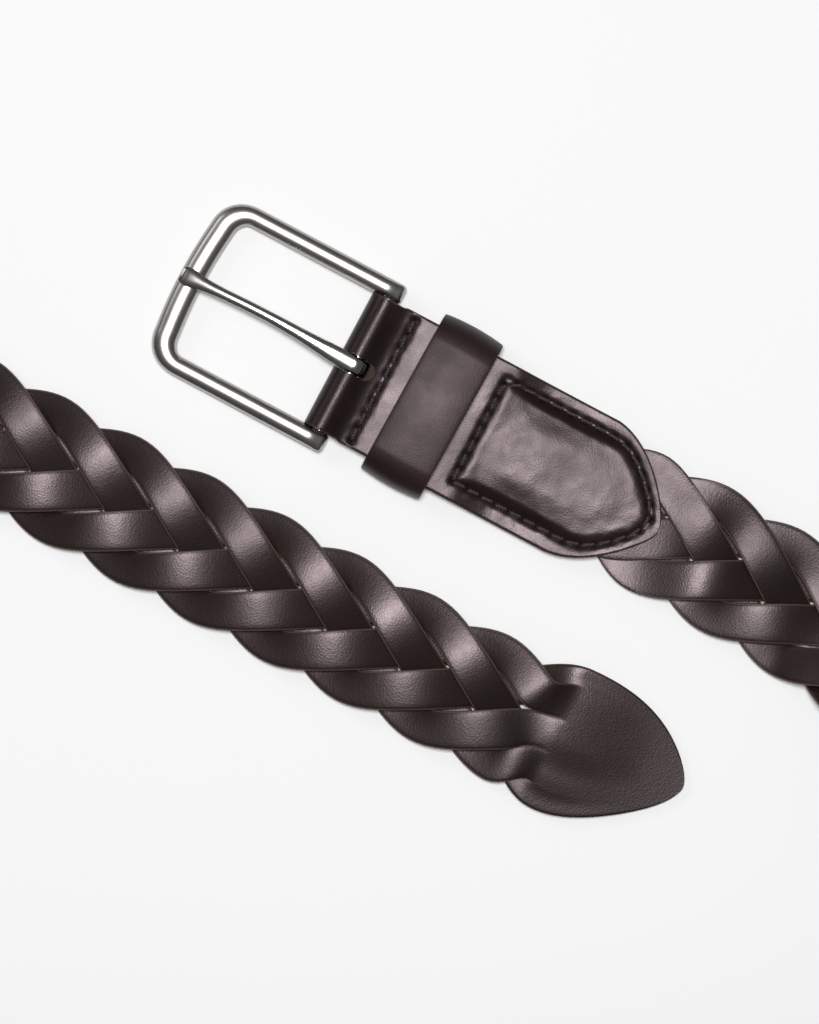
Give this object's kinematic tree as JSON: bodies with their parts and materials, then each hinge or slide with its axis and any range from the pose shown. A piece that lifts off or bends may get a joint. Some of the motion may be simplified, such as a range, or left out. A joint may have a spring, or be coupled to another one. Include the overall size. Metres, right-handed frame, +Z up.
{
  "type": "braided leather belt with a pin buckle",
  "caption": "Braided leather belt lying in an open loop, with a bent-wire pin buckle, a folded and sewn chape, a keeper and a solid rounded tip.",
  "frame": {"origin": "on the table under the middle of the belt's outline", "axes": "+Z up, +X along both straight stretches from the buckle towards the tip, +Y from the tip's stretch to the buckle's stretch"},
  "size_m": [0.4384, 0.2836, 0.035],
  "materials": {
    "satin_nickel": "satin nickel plate",
    "polished_nickel": "polished nickel plate",
    "chape_leather": "smooth waxed dark brown leather, satin",
    "strand_leather": "fine-grained waxed dark brown leather, satin"
  },
  "bodies": {
    "strap": {"chape": "chape_leather", "keeper": "chape_leather", "strand_1": "strand_leather", "strand_2": "strand_leather", "strand_3": "strand_leather", "strand_4": "strand_leather", "strand_5": "strand_leather", "tip": "strand_leather"},
    "frame": {"buckle_frame": "satin_nickel"},
    "prong": {"prong": "polished_nickel"}
  },
  "joints": [
    {"name": "frame_hinge", "type": "hinge", "parent": "strap", "child": "frame", "pos_m": [-0.00697, 0.11828, 0.0043], "axis": [0, 1, 0], "range_deg": [-30, 40]},
    {"name": "prong_hinge", "type": "hinge", "parent": "frame", "child": "prong", "pos_m": [-0.00697, 0.11828, 0.0043], "axis": [0, 1, 0], "range_deg": [0, 70]}
  ]
}
